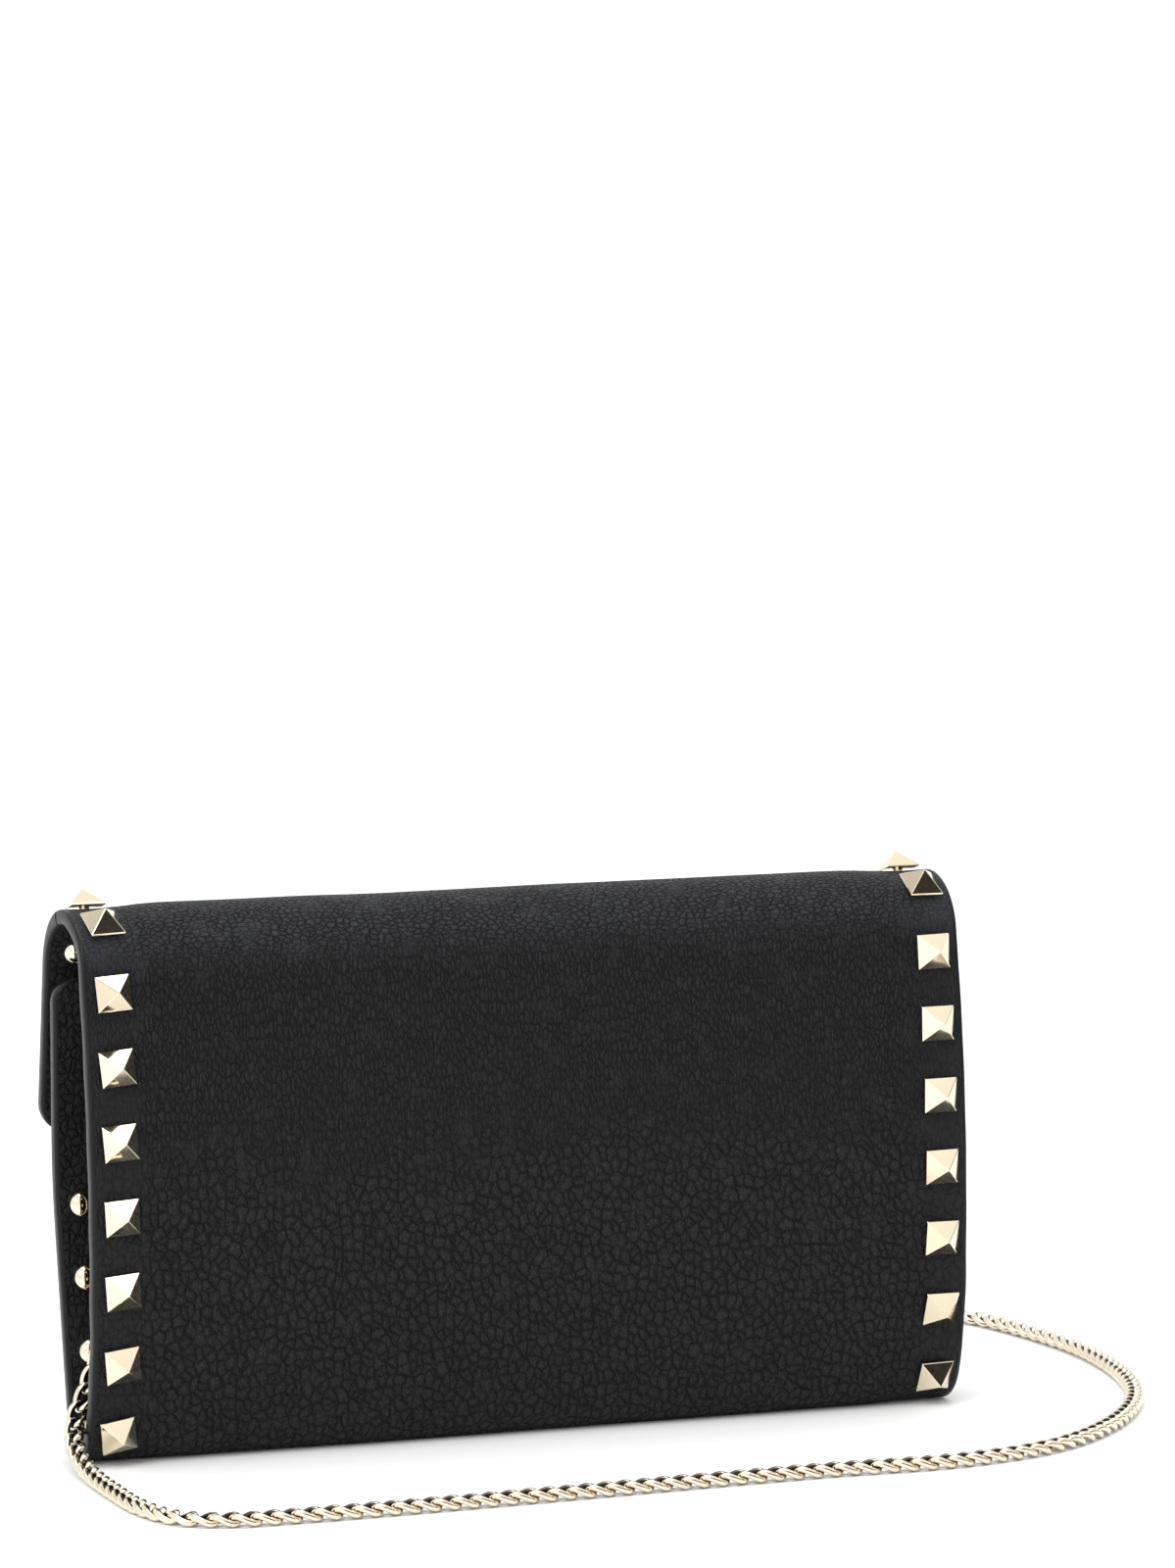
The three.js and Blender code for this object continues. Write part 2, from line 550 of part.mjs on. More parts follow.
/** The gate that closes the hook, with a nub for the thumb. It turns about the round pin at its lower end. */
function gateGeometry() {
  const ring = [
    ...arcPoints(0, CLASP.centre, CLASP.outer - 0.1, CLASP.gateFrom, CLASP.gateTo, 6),
    ...arcPoints(0, CLASP.centre, CLASP.inner + 0.1, CLASP.gateTo, CLASP.gateFrom, 6),
  ];
  const gate = extrudeAlongX(ring, CLASP.thick - 0.6);
  const nub = box(CLASP.thick - 0.8, 1.6, 1.5, 0, CLASP.outer + 0.3, CLASP.centre + 0.2);
  const [[pinY, pinZ]] = arcPoints(0, CLASP.centre, (CLASP.inner + CLASP.outer) / 2, CLASP.gateFrom, 0, 1);
  const pin = extrudeAlongX(circlePoints(pinY, pinZ, 0.75, 16), CLASP.thick - 0.6);
  return combine([gate, nub, pin]);
}

function addChainEnds() {
  const tab = tabGeometry();
  const ring = ringGeometry();
  const clasp = claspGeometry();
  const gate = gateGeometry();
  const endRing = geometryFrom(solidFrom(
    plateInXZ(circlePoints(0, 0, 3.1, 16), 1, [circlePoints(0, 0, 2.1, 16)])));
  const claspZ = TAB_PLACE.z - RING_DROP;
  for (const [side, x] of [['right', HARDWARE_X], ['left', -HARDWARE_X]]) {
    const tabMesh = addMesh(`chain_tab_${side}`, tab, LINING_LEATHER);
    tabMesh.position.set(x, TAB_PLACE.y, TAB_PLACE.z);
    tabMesh.rotation.x = rad(3);
    addMesh(`d_ring_${side}`, ring, POLISHED_GOLD).position.set(x, TAB_PLACE.y, TAB_PLACE.z);
    addMesh(`clasp_${side}`, clasp, POLISHED_GOLD).position.set(x, TAB_PLACE.y, claspZ);
    addMesh(`clasp_gate_${side}`, gate, POLISHED_GOLD).position.set(x, TAB_PLACE.y, claspZ);
    addMesh(`end_ring_${side}`, endRing, POLISHED_GOLD)
      .position.set(x, TAB_PLACE.y, claspZ + CLASP.eye - 2.6);
  }
}

function addChain() {
  const route = new THREE.CatmullRomCurve3(CHAIN_ROUTE.map((p) => new THREE.Vector3(...p)), false, 'centripetal');
  const section = new THREE.Shape(circlePoints(0, 0, CHAIN_RADIUS, 8).map(([u, v]) => new THREE.Vector2(u, v)));
  const tube = new THREE.ExtrudeGeometry(section, { steps: CHAIN_STEPS, extrudePath: route, bevelEnabled: false });
  addMesh('chain', geometryFrom(solidFrom(tube)), POLISHED_GOLD);
}

addShell();
addStuds();
addGussets();
addPocketAndZip();
addCardPanels();
addSnap();
addChainEnds();
addChain();

export default wallet;
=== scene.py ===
"""A studded leather wallet on a curb chain: the looks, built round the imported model. Blender 4.5.

Lengths are in millimetres and turn into metres where a mesh is made. X runs across the width,
the flap hangs at the front (-Y) and the plain studded panel is at the back (+Y).
"""

import math

import bmesh
import bpy
import numpy as np
from mathutils import Matrix, Vector, noise


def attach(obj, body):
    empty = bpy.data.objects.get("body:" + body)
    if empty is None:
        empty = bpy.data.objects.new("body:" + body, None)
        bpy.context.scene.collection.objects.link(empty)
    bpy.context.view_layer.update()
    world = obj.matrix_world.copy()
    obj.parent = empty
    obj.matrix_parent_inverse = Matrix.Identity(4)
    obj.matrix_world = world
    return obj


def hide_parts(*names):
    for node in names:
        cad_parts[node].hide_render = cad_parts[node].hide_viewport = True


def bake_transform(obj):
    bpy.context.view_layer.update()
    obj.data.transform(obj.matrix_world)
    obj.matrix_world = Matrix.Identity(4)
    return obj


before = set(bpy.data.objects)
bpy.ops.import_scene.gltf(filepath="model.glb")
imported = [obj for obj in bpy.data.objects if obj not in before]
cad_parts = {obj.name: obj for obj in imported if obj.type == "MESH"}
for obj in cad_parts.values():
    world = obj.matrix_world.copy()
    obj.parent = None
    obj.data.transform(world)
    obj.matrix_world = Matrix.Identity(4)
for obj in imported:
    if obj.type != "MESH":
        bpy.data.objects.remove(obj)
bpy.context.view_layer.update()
MM = 0.001

# ---------------------------------------------------------------- driving dimensions
WIDTH = 190.0
LEATHER = 3.0
RIM = 0.9  # how far the painted edge bulges past the faces
SHEET_RIM = 0.4  # the same for the thin sheets inside

# The outer surface: straight legs are (length,), arcs are (radius, turn in degrees, steps).
BASE_BACK_Y = 5.78
BASE_FLAT = 1.74
BACK_LEGS = [(8.97, 74, 12), (85.2, 16, 8), (8.8,), (317.9, 11, 16), (13.2, 162, 54), (35.4,)]
FRONT_LEGS = [(BASE_FLAT,), (3.6, -79.2, 10), (43.85,), (96.5, -10.8, 6), (31.4,)]

# The contents push the lower front panel out between the gussets.
BELLY = 7.5
BELLY_HALF_WIDTH = 74.0
BELLY_FULL_BELOW = 14.0
BELLY_GONE_ABOVE = 62.0

FLAP_CORNER = 5.0
FRONT_CORNER = 4.0
REAR_HINGE_TURN = 69.5
FRONT_HINGE_TURN = 122.0

STUD_X = 89.0
STUD_SIDE = 7.2
STUD_HEIGHT = 4.0
STUD_SKIRT = 0.35
STUD_BEVEL = 0.08
CRISP_ABOVE = 15.0  # degrees: a stud's edges sharper than this stay crisp
TURNED_SIDES = 24  # sides of the shank and the cap
STUD_PITCH = 14.8
STUD_PITCH_ON_FOLD = 12.1
STUD_SEAT = 0.25
SHANK_RADIUS = 1.1
CAP_RADIUS = 2.75
CAP_HEIGHT = 1.9
CAP_SEAT = 0.6
BACK_ROWS = 8
FRONT_ROWS = 4
FLAP_ROWS = 3
LOWEST_FRONT_STUD = 3.0
FRONT_STUD_SHIFT = 0.9  # the front column at the right end is set a little nearer the edge

# Degrees that the back studs lean towards the floor and turn, row by row from the top. They were set
# one by one, mostly for the tones of their faces, so they are not measured angles.
LEAN = {"right": (-5, 1, 1, 1, 3, 4, 4, 3), "left": (-5, 6, 6, 6, 6, 7, 14, 14)}
SPIN = {"right": (3, 4, 5, 4, 4, 5, 7, 11), "left": (0, 1, 0, 1, 1, 0, 0, 1)}

GUSSET_EDGE_X = 80.5
GUSSET_FOLD_X = 69.5
GUSSET_LEATHER = 1.0
GUSSET_BOTTOM = 9.0
GUSSET_TOP = 92.0
POCKET_WIDTH = 137.4
POCKET_HEIGHT = 70.0
POCKET_WALL = 1.2
POCKET_ROOM = 3.2
POCKET_BASE = (5.2, 12.5)
POCKET_TILT = 3.6
CARD_LEATHER = 1.1
CARD_WIDTH = 130.0
CARD_BOTTOM = 15.0
CARD_TOPS = {"tall": 69.0, "short": 57.0}
GAP = 0.3

HARDWARE_X = 83.5
TAB_PLACE = (5.8, 89.5)
TAB_LEATHER = 0.95

# ---------------------------------------------------------------- camera
CAMERA_TARGET = (-10.1, 18.05, 133.0)
CAMERA_DISTANCE = 1563.4
CAMERA_TURN = 22.0  # degrees from straight behind, towards +X
CAMERA_RISE = 6.0
CAMERA_LENS = 178.3


def add_camera():
    data = bpy.data.cameras.new("camera")
    data.sensor_width = 36
    data.lens = CAMERA_LENS
    data.clip_start = 0.1
    data.clip_end = 50
    camera = bpy.data.objects.new("camera", data)
    turn, rise = math.radians(CAMERA_TURN), math.radians(CAMERA_RISE)
    back = Vector((math.sin(turn) * math.cos(rise), math.cos(turn) * math.cos(rise), math.sin(rise)))
    camera.location = (Vector(CAMERA_TARGET) + back * CAMERA_DISTANCE) * MM
    camera.rotation_mode = "QUATERNION"
    camera.rotation_quaternion = (-back).to_track_quat("-Z", "Y")
    bpy.context.scene.collection.objects.link(camera)
    bpy.context.scene.camera = camera


# ---------------------------------------------------------------- the chain's path
FLOOR = 1.5
CHAIN_ROUTE = [
    (83.5, 5.8, 62.3), (84.3, 5.7, 40), (87, 5.2, 28), (90.2, 5, 20), (93.4, 6.6, 13.2),
    (96.3, 9.4, 8.6), (98.2, 15, 4.8), (99.2, 26, 2.2), (100.2, 46.5, FLOOR), (100.2, 62, FLOOR),
    (97, 73.5, FLOOR), (89, 79, FLOOR), (68, 80.3, FLOOR), (-34, 76.6, FLOOR), (-66, 77, FLOOR),
    (-90, 70, FLOOR), (-112, 52, FLOOR), (-130, 25, FLOOR), (-140, -8, FLOOR), (-142, -40, FLOOR),
    (-134, -77, FLOOR), (-108, -99, FLOOR), (-70, -105, FLOOR), (5, -105, FLOOR), (16.2, -98.8, FLOOR),
    (16.2, -86.2, FLOOR), (5, -80, FLOOR), (-74, -80, FLOOR), (-85.2, -73.8, FLOOR), (-85.2, -61.2, FLOOR),
    (-74, -55, FLOOR), (4, -55, FLOOR), (15.2, -48.8, FLOOR), (15.2, -36.2, FLOOR), (4, -30, FLOOR),
    (-74, -27, FLOOR), (-97, -12, 2.6), (-98, 1, 8.6), (-90, 5, 27), (-83.5, 5.8, 62.3),
]
CHAIN_WIDTH = 4.3
LINK_WIRE = 1.35
LINK_PITCH = 4.1
LINK_TWIST = 52.0
LINK_SQUARENESS = 0.85  # 1 is an ellipse, and less is squarer
LINK_ROCK = 0.12  # radians that single links rock about the chain
ABOVE_GROUND = 0.02


def centripetal_curve(points, steps):
    """Points along a centripetal Catmull-Rom curve through the given points."""
    knots = [Vector(p) for p in points]
    knots = [2 * knots[0] - knots[1], *knots, 2 * knots[-1] - knots[-2]]
    line = []
    for a, b, c, d in zip(knots, knots[1:], knots[2:], knots[3:]):
        t = [0.0]
        for p, q in ((a, b), (b, c), (c, d)):
            t.append(t[-1] + (q - p).length ** 0.5)
        for i in range(steps):
            u = t[1] + (t[2] - t[1]) * i / steps
            ab = a.lerp(b, (u - t[0]) / (t[1] - t[0]))
            bc = b.lerp(c, (u - t[1]) / (t[2] - t[1]))
            cd = c.lerp(d, (u - t[2]) / (t[3] - t[2]))
            abc = ab.lerp(bc, (u - t[0]) / (t[2] - t[0]))
            bcd = bc.lerp(cd, (u - t[1]) / (t[3] - t[1]))
            line.append(abc.lerp(bcd, (u - t[1]) / (t[2] - t[1])))
    line.append(knots[-2])
    return line


def spaced(line, pitch, start):
    """Points at equal distances along a line, and the line's length."""
    points = np.array([tuple(p) for p in line])
    along = np.concatenate([[0], np.cumsum(np.linalg.norm(np.diff(points, axis=0), axis=1))])
    stations = np.arange(start, along[-1], pitch)
    return np.stack([np.interp(stations, along, points[:, k]) for k in range(3)], 1), along[-1]


# ---------------------------------------------------------------- mesh helpers
def new_piece(name, vertices, faces, body, materials, face_materials=None, smooth=True):
    """A mesh object that rides on a body. vertices are in millimetres."""
    mesh = bpy.data.meshes.new(name)
    mesh.from_pydata([tuple(float(c) * MM for c in v) for v in vertices], [], faces)
    for material in materials:
        mesh.materials.append(material)
    if face_materials is not None:
        mesh.polygons.foreach_set("material_index", face_materials)
    mesh.polygons.foreach_set("use_smooth", [smooth] * len(mesh.polygons))
    mesh.update()
    piece = bpy.data.objects.new(name, mesh)
    bpy.context.scene.collection.objects.link(piece)
    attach(piece, body)
    return piece


def grid_normals(grid):
    """Unit normals of a grid of points, across x along."""
    along = np.gradient(grid, axis=0)
    across = np.gradient(grid, axis=1)
    normals = np.cross(across, along)
    return normals / np.linalg.norm(normals, axis=2, keepdims=True)


def superellipse(angle):
    """A rounded square's (out, through) for an angle from 0 at one face to pi at the other."""
    sine, cosine = math.sin(angle), math.cos(angle)
    return sine ** 0.5 if sine > 1e-9 else 0.0, 1 - math.copysign(abs(cosine) ** 0.5, cosine)


def sheet_mesh(grid, grain, thickness, rim, flat_first=False, flat_last=False, rings=8):
    """A closed sheet of leather from a grid of outer points [row][column].

    The outer normal is across x along. The four edges bulge by rim, unless a row is flat
    because the next piece carries on from it. Returns vertices, faces, kinds and grain, where
    the kinds are 0 for the outer face, 1 for the edge and 2 for the inner face.
    """
    rows, columns = grid.shape[:2]
    normals = grid_normals(grid)
    outer = grid.reshape(-1, 3)
    inner = (grid - normals * thickness).reshape(-1, 3)
    index = np.arange(rows * columns).reshape(rows, columns)
    loop = [*index[0, :-1], *index[:-1, -1], *index[-1, :0:-1], *index[:0:-1, 0]]
    flat = set(index[0] if flat_first else []) | set(index[-1] if flat_last else [])
    ring_points = []
    edge_normals = normals.reshape(-1, 3)[loop]
    edge = outer[loop]
    tangent = np.roll(edge, -1, axis=0) - np.roll(edge, 1, axis=0)
    out = np.cross(tangent, edge_normals)
    out /= np.linalg.norm(out, axis=1, keepdims=True)
    bulge = np.array([0.0 if i in flat else rim for i in loop])[:, None]
    for k in range(1, rings):
        reach, depth = superellipse(math.pi * k / rings)
        ring_points.append(edge - edge_normals * thickness / 2 * depth + out * bulge * reach)
    vertices = np.concatenate([outer, inner, *ring_points])
    faces, kinds = [], []
    for r in range(rows - 1):
        for c in range(columns - 1):
            a, b, c2, d = index[r, c], index[r, c + 1], index[r + 1, c + 1], index[r + 1, c]
            faces.append((a, b, c2, d))
            kinds.append(0)
            faces.append(tuple(rows * columns + i for i in (d, c2, b, a)))
            kinds.append(2)
    count = len(loop)
    rings_at = [loop]
    rings_at += [[2 * rows * columns + k * count + i for i in range(count)] for k in range(rings - 1)]
    rings_at.append([rows * columns + i for i in loop])
    for upper, lower in zip(rings_at, rings_at[1:]):
        for i in range(count):
            j = (i + 1) % count
            faces.append((upper[j], upper[i], lower[i], lower[j]))
            kinds.append(1)
    grain_all = np.concatenate([
        grain.reshape(-1, 3),
        grain.reshape(-1, 3) + np.array([0, 0, 40.0]),
        *[grain.reshape(-1, 3)[loop]] * (rings - 1),
    ])
    return vertices, faces, kinds, grain_all


def add_sheet(name, grid, grain, thickness, body, materials, slot, rim=SHEET_RIM, **ends):
    """A leather sheet as a piece. Its grain attribute holds flat coordinates in millimetres."""
    vertices, faces, kinds, grain_all = sheet_mesh(grid, grain, thickness, rim, **ends)
    piece = new_piece(name, vertices, faces, body, materials, kinds)
    attribute = piece.data.attributes.new("grain", "FLOAT_VECTOR", "POINT")
    attribute.data.foreach_set("vector", grain_all.astype(np.float32).ravel())
    return piece


def add_lining_sheet(name, grid, offset, thickness, node, rim=SHEET_RIM):
    """A thin sheet inside the wallet that stands for a CAD node."""
    piece = add_sheet(name, grid, flat_grain(grid, offset), thickness, "wallet",
                      [LINING, PAINTED_EDGE, LINING], "lining_leather", rim)
    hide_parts(node)


def flat_grain(grid, offset):
    """Flat coordinates for a sheet: distance across and distance along."""
    across = np.concatenate([np.zeros((grid.shape[0], 1)),
                             np.cumsum(np.linalg.norm(np.diff(grid, axis=1), axis=2), axis=1)], 1)
    along = np.concatenate([np.zeros((1, grid.shape[1])),
                            np.cumsum(np.linalg.norm(np.diff(grid, axis=0), axis=2), axis=0)], 0)
    return np.stack([across + offset, along, np.zeros_like(across)], 2)


# ---------------------------------------------------------------- the wrap
def trace(start, heading, legs, side):
    """Points (y, z, ny, nz, s) along straight legs and arcs, with the outward normal."""
    y, z = start
    angle, s = heading, 0.0
    points = []

    def mark():
        turned = math.radians(angle)
        points.append((y, z, side * math.sin(turned), -side * math.cos(turned), s))

    mark()
    for leg in legs:
        if len(leg) == 1:
            pieces = max(1, round(leg[0] / 2.4))
            steps = [(0.0, leg[0] / pieces, leg[0] / pieces)] * pieces
        else:
            radius, turn, count = leg
            step = turn / count
            chord = 2 * radius * math.sin(math.radians(abs(step)) / 2)
            steps = [(step, chord, math.radians(abs(step)) * radius)] * count
        for turn, chord, arc in steps:
            y += chord * math.cos(math.radians(angle + turn / 2))
            z += chord * math.sin(math.radians(angle + turn / 2))
            angle += turn
            s += arc
            mark()
    return points


BACK_LINE = trace((BASE_BACK_Y, 0.0), 0, BACK_LEGS, 1)
FRONT_LINE = trace((BASE_BACK_Y, 0.0), 180, FRONT_LEGS, -1)
WRAP = np.array([(y, z, ny, nz, -s) for y, z, ny, nz, s in FRONT_LINE[:0:-1]] + BACK_LINE)


def leg_length(leg):
    return leg[0] if len(leg) == 1 else leg[0] * math.radians(abs(leg[1]))


HEEL_END = leg_length(BACK_LEGS[0])
FOLD_START = sum(leg_length(leg) for leg in BACK_LEGS[:4])
FOLD_RADIUS = BACK_LEGS[4][0]
REAR_HINGE = FOLD_START + math.radians(REAR_HINGE_TURN) * FOLD_RADIUS
FRONT_HINGE = FOLD_START + math.radians(FRONT_HINGE_TURN) * FOLD_RADIUS
TOE_END = -(BASE_FLAT + leg_length(FRONT_LEGS[1]))
WRAP_START, WRAP_END = WRAP[0, 4], WRAP[-1, 4]


def wrap_at(s):
    """(y, z, ny, nz) of the wrap at path length s."""
    y, z, ny, nz = (float(np.interp(s, WRAP[:, 4], WRAP[:, k])) for k in range(4))
    size = math.hypot(ny, nz)
    return y, z, ny / size, nz / size


def belly_at(x, y, z):
    """How far the contents push the front panel out at a point."""
    across = max(0.0, 1 - (x / BELLY_HALF_WIDTH) ** 2) ** 2
    front = min(1.0, max(0.0, (BASE_BACK_Y - y) / BASE_FLAT))
    t = min(1.0, max(0.0, (z - BELLY_FULL_BELOW) / (BELLY_GONE_ABOVE - BELLY_FULL_BELOW)))
    return BELLY * across * front * (1 - t * t * (3 - 2 * t))


def lining_at(line, z):
    """The y of the lining of the back or front wall at height z, below the fold."""
    inner = sorted((p[1] - p[3] * LEATHER, p[0] - p[2] * LEATHER) for p in line
                   if 1 < p[1] < 97 and p[4] < FOLD_START)
    return float(np.interp(z, [p[0] for p in inner], [p[1] for p in inner]))


def stud_lengths():
    """Path lengths of one column of studs, by the piece of shell that they go through."""
    back = [HEEL_END + STUD_PITCH * (BACK_ROWS - 1 - row) for row in range(BACK_ROWS)]
    fold = [back[0] + STUD_PITCH_ON_FOLD]
    flap = [fold[0] + STUD_PITCH_ON_FOLD + STUD_PITCH * row for row in range(FLAP_ROWS)]
    lowest = TOE_END - LOWEST_FRONT_STUD
    front = [lowest - STUD_PITCH * (FRONT_ROWS - 1 - row) for row in range(FRONT_ROWS)]
    return {"back": back, "fold": fold, "flap": flap, "front": front}


STUDS = stud_lengths()


def relief(x, s):
    """How far the leather's face stands off the plain wrap: filling, hollows at the studs and waves."""
    fullness = 1 / (1 + math.exp((abs(x) - 79) / 1.6))
    low = noise.noise(Vector((x * 0.018, s * 0.022, 3.1))) * 0.45
    fine = noise.noise(Vector((x * 0.06, s * 0.05, 9.7))) * 0.14
    height = 0.35 * fullness + (low + fine) * (0.35 + 0.65 * fullness)
    for place, lengths in STUDS.items():
        for row, at in enumerate(lengths):
            reach = ((abs(x) - STUD_X) ** 2 + (s - at) ** 2) / 30
            if reach < 4:
                lean = LEAN["right" if x > 0 else "left"][row] if place == "back" else 0
                height += (math.tan(math.radians(lean)) * (s - at) - 0.28) * math.exp(-reach)
    return height


def skin_stations(start, end, first_rim, last_rim, corner_at_start=0.0, corner_at_end=0.0):
    """Path lengths of the rows of a skin, with a finer step at rounded corners and at the ends."""
    start, end = start + first_rim, end - last_rim
    stations = {round(float(s), 4) for s in WRAP[:, 4] if start + 0.4 < s < end - 0.4}
    for edge, sign, corner in ((start, 1, corner_at_start), (end, -1, corner_at_end)):
        stations |= {round(edge, 4), round(edge + sign * 0.35, 4)}
        for k in range(1, 7):
            if corner:
                stations.add(round(edge + sign * corner * (1 - math.cos(math.radians(15 * k))), 4))
    ordered = sorted(stations)
    kept = [ordered[0]]
    for s in ordered[1:-1]:
        if s - kept[-1] > 0.12:
            kept.append(s)
    kept.append(ordered[-1])
    return kept


def half_width(s, start, end, corner_at_start, corner_at_end):
    """Half the skin's width at path length s, less where a corner is rounded."""
    full = WIDTH / 2 - RIM
    half = full
    for distance, corner in ((s - start, corner_at_start), (end - s, corner_at_end)):
        if corner and distance < corner:
            rounded = math.sqrt(max(0.0, corner ** 2 - (corner - distance) ** 2))
            half = min(half, full - corner + rounded)
    return half


def add_skin(name, start, end, body, rim_first, rim_last, corner_at_start=0.0, corner_at_end=0.0):
    """One stretch of the wrapped shell."""
    stations = skin_stations(start, end, rim_first, rim_last, corner_at_start, corner_at_end)
    margin = np.linspace(1, 0.83, 12)
    middle = np.linspace(0.83, -0.83, 45)[1:-1]
    columns = np.concatenate([margin, middle, -margin[::-1]])
    grid = np.zeros((len(stations), len(columns), 3))
    grain = np.zeros_like(grid)
    for r, s in enumerate(stations):
        y, z, ny, nz = wrap_at(s)
        half = half_width(s, stations[0], stations[-1], corner_at_start, corner_at_end)
        for c, share in enumerate(columns):
            x = share * half
            lift = relief(x, s)
            if z < 0.2 and nz < -0.9:
                lift = min(lift, 0.0)
            grid[r, c] = (x, y + ny * lift - belly_at(x, y, z), max(0.0, z + nz * lift))
            grain[r, c] = (x, s, 0)
    return add_sheet(name, grid, grain, LEATHER, body, [OUTER, PAINTED_EDGE, LINING], "outer_leather",
                     rim=RIM, flat_first=rim_first == 0, flat_last=rim_last == 0)


def add_shell():
    middle_of_fold = STUDS["fold"][0]
    shell = add_skin("shell_skin", WRAP_START, middle_of_fold, "wallet", RIM, 0.0, FRONT_CORNER, 0.0)
    flap = add_skin("flap_skin", middle_of_fold, WRAP_END, "flap", 0.0, RIM, 0.0, FLAP_CORNER)
    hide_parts("shell_body", "flap_fold")
    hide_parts("flap")
    for piece, bodies, at, across in ((shell, ("wallet", "fold"), REAR_HINGE, (-0.7, 0.714)),
                                      (flap, ("fold", "flap"), FRONT_HINGE, (-0.731, -0.682))):
        piece.parent = None
        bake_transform(piece)


# ---------------------------------------------------------------- studs
def stud_mesh():
    """A sharp pyramid on a short skirt, with a shank and a dome cap on the lining side."""
    bm = bmesh.new()
    half = STUD_SIDE / 2 * MM
    base = [bm.verts.new((sx * half, sy * half, STUD_SEAT * MM)) for sx, sy in
            ((-1, -1), (1, -1), (1, 1), (-1, 1))]
    skirt = [bm.verts.new((v.co.x, v.co.y, (STUD_SEAT + STUD_SKIRT) * MM)) for v in base]
    apex = bm.verts.new((0, 0, (STUD_SEAT + STUD_HEIGHT) * MM))
    bm.faces.new(base[::-1])
    for i in range(4):
        j = (i + 1) % 4
        bm.faces.new((base[i], base[j], skirt[j], skirt[i]))
        bm.faces.new((skirt[i], skirt[j], apex))
    bmesh.ops.bevel(bm, geom=list(bm.edges), offset=STUD_BEVEL * MM, segments=1, affect="EDGES")
    under = -(LEATHER + CAP_SEAT)
    profile = [(0.0, under - CAP_HEIGHT)]
    profile += [(CAP_RADIUS * math.sin(a), under - CAP_HEIGHT * math.cos(a))
                for a in (math.radians(9 * k) for k in range(1, 11))]
    profile += [(CAP_RADIUS * 0.97, under + 0.25), (SHANK_RADIUS, under + 0.25),
                (SHANK_RADIUS, STUD_SEAT + 0.1)]
    angles = [math.tau * k / TURNED_SIDES for k in range(TURNED_SIDES)]
    turned = []
    for radius, z in profile:
        around = [(math.cos(a), math.sin(a)) for a in angles] if radius else [(0, 0)]
        turned.append([bm.verts.new((radius * x * MM, radius * y * MM, z * MM)) for x, y in around])
    for lower, upper in zip(turned, turned[1:]):
        for k in range(TURNED_SIDES):
            m = (k + 1) % TURNED_SIDES
            corners = [lower[0]] if len(lower) == 1 else [lower[k], lower[m]]
            bm.faces.new((*corners, upper[m], upper[k]))
    bmesh.ops.recalc_face_normals(bm, faces=bm.faces)
    mesh = bpy.data.meshes.new("stud")
    bm.to_mesh(mesh)
    bm.free()
    mesh.materials.append(GOLD)
    mesh.set_sharp_from_angle(angle=math.radians(CRISP_ABOVE))
    return mesh


def add_studs():
    mesh = stud_mesh()
    bodies = {"back": "wallet", "front": "wallet", "fold": "fold", "flap": "flap"}
    for place, lengths in STUDS.items():
        for row, s in enumerate(lengths):
            y, z, ny, nz = wrap_at(s)
            for side, x in (("right", STUD_X), ("left", -STUD_X)):
                label = f"{place}_{side}_{row + 1}"
                piece = bpy.data.objects.new(f"pyramid_{label}", mesh)
                bpy.context.scene.collection.objects.link(piece)
                roll = noise.noise(Vector((s * 0.37, x, 5.0))) * 2.5
                tip = noise.noise(Vector((s * 0.31, x, 8.0))) * 1.6
                if place == "back":
                    roll += SPIN[side][row]
                    tip -= LEAN[side][row]
                if place == "front" and side == "right":
                    x += FRONT_STUD_SHIFT
                turn = Matrix.Rotation(math.atan2(-ny, nz) + math.radians(tip), 4, "X")
                spin = Matrix.Rotation(math.radians(roll), 4, "Z")
                piece.matrix_world = Matrix.Translation((x * MM, y * MM, z * MM)) @ turn @ spin
                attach(piece, bodies[place])
                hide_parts(f"stud_{label}")


# ---------------------------------------------------------------- chain
def link_template():
    """One twisted link of a curb chain, lying flat along X."""
    around, sides = 28, 9
    half_length = (LINK_PITCH + 2 * LINK_WIRE) / 2 - LINK_WIRE / 2
    half_across = (CHAIN_WIDTH - LINK_WIRE) / 2
    centre = []
    for k in range(around):
        a = math.tau * k / around
        x = half_length * math.copysign(abs(math.cos(a)) ** LINK_SQUARENESS, math.cos(a))
        y = half_across * math.copysign(abs(math.sin(a)) ** LINK_SQUARENESS, math.sin(a))
        twist = math.radians(LINK_TWIST) * x / half_length
        centre.append(Vector((x, y * math.cos(twist), y * math.sin(twist))))
    points, inner = [], []
    for k, p in enumerate(centre):
        tangent = (centre[(k + 1) % around] - centre[k - 1]).normalized()
        outward = (p - p.dot(tangent) * tangent).normalized()
        other = tangent.cross(outward)
        for m in range(sides):
            b = math.tau * m / sides
            points.append(p + (outward * math.cos(b) + other * math.sin(b)) * LINK_WIRE / 2)
            inner.append(0.5 - 0.5 * math.cos(b))
    faces = []
    for k in range(around):
        for m in range(sides):
            k2, m2 = (k + 1) % around, (m + 1) % sides
            faces.append((k * sides + m, k * sides + m2, k2 * sides + m2, k2 * sides + m))
    return np.array([tuple(p) for p in points]), faces, inner


